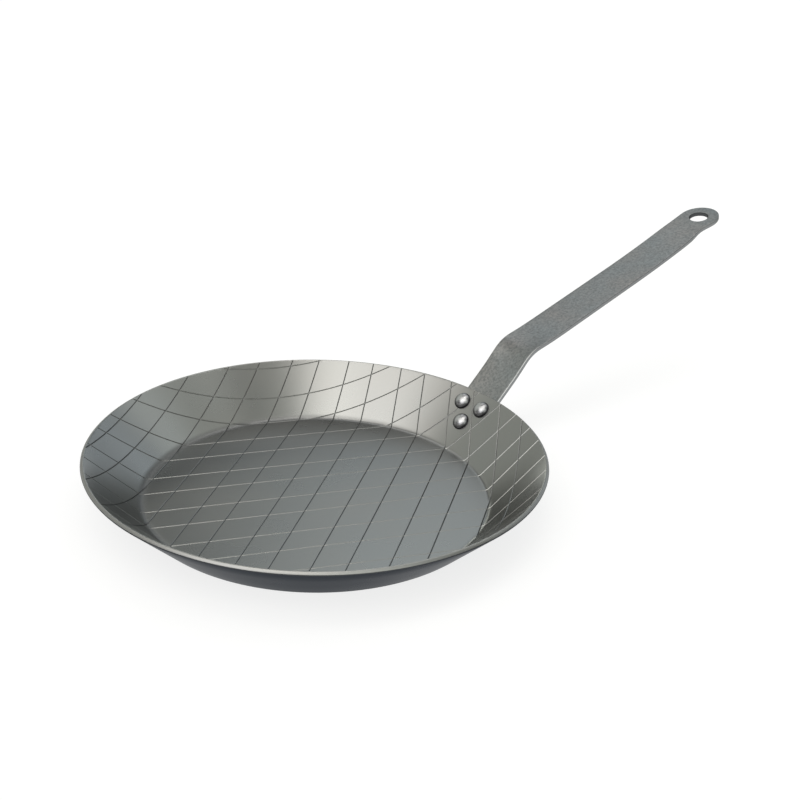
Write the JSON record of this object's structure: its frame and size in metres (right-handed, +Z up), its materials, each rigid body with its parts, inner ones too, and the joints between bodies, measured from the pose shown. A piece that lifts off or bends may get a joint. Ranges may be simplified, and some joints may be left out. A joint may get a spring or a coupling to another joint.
{
  "type": "steak pan",
  "caption": "Round pressed steel steak pan with a crosshatch scored inside, a low flared wall and a riveted flat strap handle that rises from the rim to a hanging eye.",
  "frame": {"origin": "middle of the base's flat underside, on the pan's axis", "axes": "+X from the pan's axis along the handle, +Y to the left of the handle seen from the pan, +Z up"},
  "size_m": [0.5148, 0.2808, 0.1234],
  "materials": {
    "scored_sheet_steel": "bare cold-rolled carbon steel sheet with a soft satin sheen, scored in a crosshatch",
    "strap_steel": "bare hot-rolled steel strap, faintly mottled, satin",
    "rivet_steel": "polished steel rivet"
  },
  "bodies": {
    "root": {"pan_body": "scored_sheet_steel", "strap_handle": "strap_steel", "rivet_upper_left": "rivet_steel", "rivet_upper_right": "rivet_steel", "rivet_lower": "rivet_steel"}
  },
  "joints": []
}
